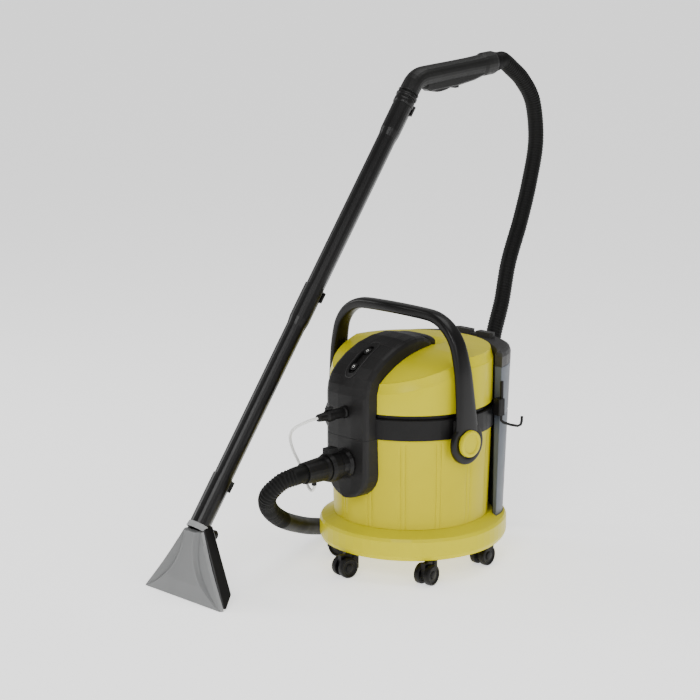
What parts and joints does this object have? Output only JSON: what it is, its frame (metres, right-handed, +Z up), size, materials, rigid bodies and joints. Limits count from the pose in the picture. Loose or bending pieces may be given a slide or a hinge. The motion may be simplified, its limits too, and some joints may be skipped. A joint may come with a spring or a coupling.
{
  "type": "carpet cleaner",
  "caption": "Canister spray extraction carpet cleaner on casters, with rear clean-water tank, carry handle, hose, wand with trigger grip and wide floor nozzle.",
  "frame": {"origin": "floor level, middle of the outline without its cords", "axes": "+Z up; -Y to the switch and hose front and the nozzle, +Y to the clean-water tank; +X to the machine right seen from behind the switches"},
  "size_m": [0.442, 1.0364, 1.01],
  "materials": {
    "yellow_gloss": "gloss",
    "black_plastic": "satin",
    "dark_gloss": "gloss",
    "panel_grey": "fine grain",
    "tank_grey": "translucent satin",
    "clear_plastic": "clear gloss",
    "steel": "brushed",
    "white_plastic": "satin",
    "soft_black": "ribbed matte"
  },
  "bodies": {
    "machine": {"base": "yellow_gloss", "container": "yellow_gloss", "head_base": "black_plastic", "hood": "yellow_gloss", "front_panel": "panel_grey", "inlet_housing": "panel_grey", "switch_plate": "black_plastic", "fan_housing": "black_plastic", "motor": "steel", "spray_pump": "white_plastic", "float_cage": "black_plastic", "pivot_knob_left": "yellow_gloss", "pivot_knob_right": "yellow_gloss", "hook_bracket": "black_plastic", "inlet_socket": "dark_gloss", "hose_cuff": "black_plastic", "spray_socket": "black_plastic", "spray_plug": "black_plastic", "tube_lower": "dark_gloss", "tube_upper": "dark_gloss", "grip": "panel_grey", "grip_hose_end": "black_plastic", "nozzle_cover": "clear_plastic", "nozzle_back": "dark_gloss", "spray_jet": "dark_gloss", "suction_hose": "soft_black", "spray_hose": "white_plastic"},
    "switch_suction_body": {"switch_suction": "black_plastic"},
    "switch_spray_body": {"switch_spray": "dark_gloss"},
    "fan_body": {"fan": "black_plastic"},
    "float_body": {"float": "white_plastic"},
    "carry_handle_body": {"carry_handle": "dark_gloss"},
    "fresh_tank_body": {"fresh_tank": "tank_grey"},
    "tank_cap_body": {"tank_cap": "panel_grey"},
    "cable_hook_body": {"cable_hook": "steel"},
    "lock_ring_body": {"lock_ring": "black_plastic"},
    "plug_lever_body": {"plug_lever": "dark_gloss"},
    "latch_bottom_body": {"latch_bottom": "dark_gloss"},
    "latch_middle_body": {"latch_middle": "dark_gloss"},
    "latch_top_body": {"latch_top": "dark_gloss"},
    "trigger_body": {"trigger": "black_plastic"},
    "trigger_lock_body": {"trigger_lock": "dark_gloss"},
    "caster_front_body": {"caster_front": "black_plastic"},
    "wheel_front_l_body": {"wheel_front_l": "black_plastic"},
    "wheel_front_r_body": {"wheel_front_r": "black_plastic"},
    "caster_right_front_body": {"caster_right_front": "black_plastic"},
    "wheel_right_front_l_body": {"wheel_right_front_l": "black_plastic"},
    "wheel_right_front_r_body": {"wheel_right_front_r": "black_plastic"},
    "caster_left_front_body": {"caster_left_front": "black_plastic"},
    "wheel_left_front_l_body": {"wheel_left_front_l": "black_plastic"},
    "wheel_left_front_r_body": {"wheel_left_front_r": "black_plastic"},
    "caster_right_rear_body": {"caster_right_rear": "black_plastic"},
    "wheel_right_rear_l_body": {"wheel_right_rear_l": "black_plastic"},
    "wheel_right_rear_r_body": {"wheel_right_rear_r": "black_plastic"},
    "caster_left_rear_body": {"caster_left_rear": "black_plastic"},
    "wheel_left_rear_l_body": {"wheel_left_rear_l": "black_plastic"},
    "wheel_left_rear_r_body": {"wheel_left_rear_r": "black_plastic"}
  },
  "joints": [
    {"name": "suction_switch_press", "type": "slide", "parent": "machine", "child": "switch_suction_body", "axis": [0, 0.7071, -0.7071], "range_m": [0, 0.002], "stiffness_N_per_m": 500},
    {"name": "spray_switch_press", "type": "slide", "parent": "machine", "child": "switch_spray_body", "axis": [0, 0.5, -0.866], "range_m": [0, 0.002], "stiffness_N_per_m": 500},
    {"name": "fan_spin", "type": "hinge", "parent": "machine", "child": "fan_body", "pos_m": [0.0245, 0.05788, 0.3143], "axis": [0, 0, 1], "continuous": true},
    {"name": "float_rise", "type": "slide", "parent": "machine", "child": "float_body", "axis": [0, 0, 1], "range_m": [0, 0.018]},
    {"name": "handle_swing", "type": "hinge", "parent": "machine", "child": "carry_handle_body", "pos_m": [0.0245, 0.03088, 0.281], "axis": [1, 0, 0], "range_deg": [-6, 25]},
    {"name": "tank_lift", "type": "slide", "parent": "machine", "child": "fresh_tank_body", "axis": [0, 0, 1], "range_m": [0, 0.33]},
    {"name": "cap_lift", "type": "slide", "parent": "fresh_tank_body", "child": "tank_cap_body", "axis": [0, 0, 1], "range_m": [0, 0.05]},
    {"name": "hook_swing", "type": "hinge", "parent": "machine", "child": "cable_hook_body", "pos_m": [0.1875, 0.14988, 0.305], "axis": [0, 0, 1], "range_deg": [-90, 0]},
    {"name": "lock_ring_turn", "type": "hinge", "parent": "machine", "child": "lock_ring_body", "pos_m": [0.0245, -0.16972, 0.236], "axis": [0, -1, 0], "range_deg": [0, 40]},
    {"name": "plug_lever_press", "type": "hinge", "parent": "machine", "child": "plug_lever_body", "pos_m": [0.0245, -0.17272, 0.3551], "axis": [1, 0, 0], "range_deg": [0, 4], "stiffness_Nm_per_rad": 0.05},
    {"name": "latch_bottom_press", "type": "slide", "parent": "machine", "child": "latch_bottom_body", "axis": [0, -0.8111, 0.585], "range_m": [0, 0.0014], "stiffness_N_per_m": 400},
    {"name": "latch_middle_press", "type": "slide", "parent": "machine", "child": "latch_middle_body", "axis": [0, -0.8111, 0.585], "range_m": [0, 0.0014], "stiffness_N_per_m": 400},
    {"name": "latch_top_press", "type": "slide", "parent": "machine", "child": "latch_top_body", "axis": [0, -0.8111, 0.585], "range_m": [0, 0.0014], "stiffness_N_per_m": 400},
    {"name": "trigger_pull", "type": "hinge", "parent": "machine", "child": "trigger_body", "pos_m": [-0.1025, 0.23634, 0.94441], "axis": [1, 0, 0], "range_deg": [0, 6], "stiffness_Nm_per_rad": 0.6},
    {"name": "trigger_lock_slide", "type": "slide", "parent": "machine", "child": "trigger_lock_body", "axis": [0, 0.9966, 0.0822], "range_m": [0, 0.006]},
    {"name": "caster_front_swivel", "type": "hinge", "parent": "machine", "child": "caster_front_body", "pos_m": [0.0245, -0.10512, 0.056], "axis": [0, 0, 1], "continuous": true},
    {"name": "wheel_front_l_roll", "type": "hinge", "parent": "caster_front_body", "child": "wheel_front_l_body", "pos_m": [0.00965, -0.12525, 0.021], "axis": [-0.9903, 0.1392, 0], "continuous": true},
    {"name": "wheel_front_r_roll", "type": "hinge", "parent": "caster_front_body", "child": "wheel_front_r_body", "pos_m": [0.03322, -0.12856, 0.021], "axis": [0.9903, -0.1392, 0], "continuous": true},
    {"name": "caster_right_front_swivel", "type": "hinge", "parent": "machine", "child": "caster_right_front_body", "pos_m": [0.16566, -0.02362, 0.056], "axis": [0, 0, 1], "continuous": true},
    {"name": "wheel_right_front_l_roll", "type": "hinge", "parent": "caster_right_front_body", "child": "wheel_right_front_l_body", "pos_m": [0.15776, -0.04735, 0.021], "axis": [-0.9848, -0.1736, 0], "continuous": true},
    {"name": "wheel_right_front_r_roll", "type": "hinge", "parent": "caster_right_front_body", "child": "wheel_right_front_r_body", "pos_m": [0.1812, -0.04322, 0.021], "axis": [0.9848, 0.1736, 0], "continuous": true},
    {"name": "caster_left_front_swivel", "type": "hinge", "parent": "machine", "child": "caster_left_front_body", "pos_m": [-0.10737, -0.03793, 0.056], "axis": [0, 0, 1], "continuous": true},
    {"name": "wheel_left_front_l_roll", "type": "hinge", "parent": "caster_left_front_body", "child": "wheel_left_front_l_body", "pos_m": [-0.08364, -0.04583, 0.021], "axis": [0.1736, -0.9848, 0], "continuous": true},
    {"name": "wheel_left_front_r_roll", "type": "hinge", "parent": "caster_left_front_body", "child": "wheel_left_front_r_body", "pos_m": [-0.08777, -0.02239, 0.021], "axis": [-0.1736, 0.9848, 0], "continuous": true},
    {"name": "caster_right_rear_swivel", "type": "hinge", "parent": "machine", "child": "caster_right_rear_body", "pos_m": [0.15802, 0.15138, 0.056], "axis": [0, 0, 1], "continuous": true},
    {"name": "wheel_right_rear_l_roll", "type": "hinge", "parent": "caster_right_rear_body", "child": "wheel_right_rear_l_body", "pos_m": [0.14808, 0.12842, 0.021], "axis": [-0.9962, -0.0872, 0], "continuous": true},
    {"name": "wheel_right_rear_r_roll", "type": "hinge", "parent": "caster_right_rear_body", "child": "wheel_right_rear_r_body", "pos_m": [0.17179, 0.1305, 0.021], "axis": [0.9962, 0.0872, 0], "continuous": true},
    {"name": "caster_left_rear_swivel", "type": "hinge", "parent": "machine", "child": "caster_left_rear_body", "pos_m": [-0.10902, 0.15138, 0.056], "axis": [0, 0, 1], "continuous": true},
    {"name": "wheel_left_rear_l_roll", "type": "hinge", "parent": "caster_left_rear_body", "child": "wheel_left_rear_l_body", "pos_m": [-0.10972, 0.17638, 0.021], "axis": [0.866, 0.5, 0], "continuous": true},
    {"name": "wheel_left_rear_r_roll", "type": "hinge", "parent": "caster_left_rear_body", "child": "wheel_left_rear_r_body", "pos_m": [-0.13033, 0.16448, 0.021], "axis": [-0.866, -0.5, 0], "continuous": true}
  ]
}
